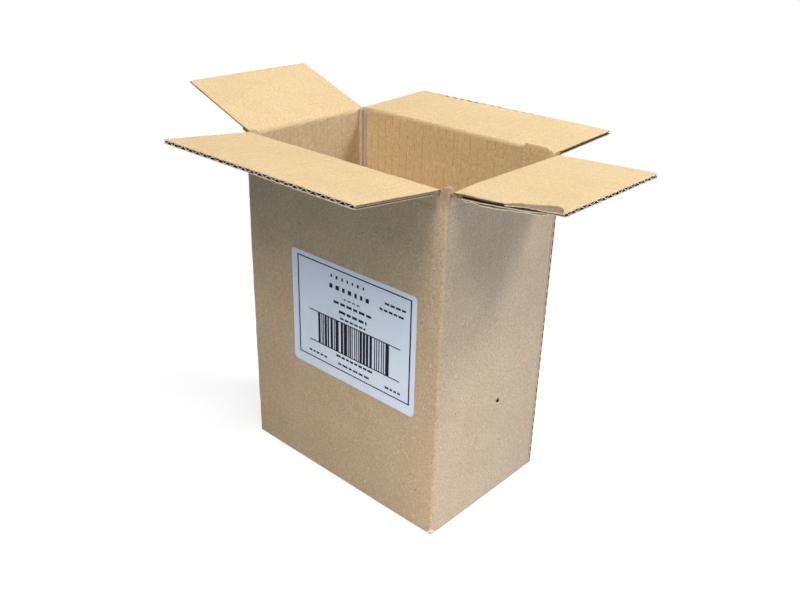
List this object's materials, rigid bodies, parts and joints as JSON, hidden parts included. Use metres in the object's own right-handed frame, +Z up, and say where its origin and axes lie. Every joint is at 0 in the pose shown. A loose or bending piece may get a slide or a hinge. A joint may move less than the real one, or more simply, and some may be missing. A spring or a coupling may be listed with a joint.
{
  "type": "corrugated box",
  "caption": "Open corrugated shipping box with hinged top flaps, a paper label on its long side and a glued bottom.",
  "frame": {"origin": "middle of the base, on the surface that the box stands on", "axes": "+X along the labelled long side, to the right as seen from that side; +Y from the labelled side to the back; +Z up"},
  "size_m": [0.2783, 0.2174, 0.2351],
  "materials": {
    "kraft_board": "matt brown kraft liner",
    "label_paper": "smooth white paper"
  },
  "bodies": {
    "carton": {"carton_body": "kraft_board", "label": "label_paper"},
    "front": {"front_flap": "kraft_board"},
    "back": {"back_flap": "kraft_board"},
    "left": {"left_flap": "kraft_board"},
    "right": {"right_flap": "kraft_board"}
  },
  "joints": [
    {"name": "front_crease", "type": "hinge", "parent": "carton", "child": "front", "pos_m": [0, -0.04881, 0.2136], "axis": [-1, 0, 0], "range_deg": [-46, 169]},
    {"name": "back_crease", "type": "hinge", "parent": "carton", "child": "back", "pos_m": [0, 0.04881, 0.2136], "axis": [1, 0, 0], "range_deg": [-42.5, 177.5]},
    {"name": "left_crease", "type": "hinge", "parent": "carton", "child": "left", "pos_m": [-0.07941, 0, 0.212], "axis": [0, 1, 0], "range_deg": [-60, 160]},
    {"name": "right_crease", "type": "hinge", "parent": "carton", "child": "right", "pos_m": [0.07941, 0, 0.212], "axis": [0, -1, 0], "range_deg": [-43, 177]}
  ]
}
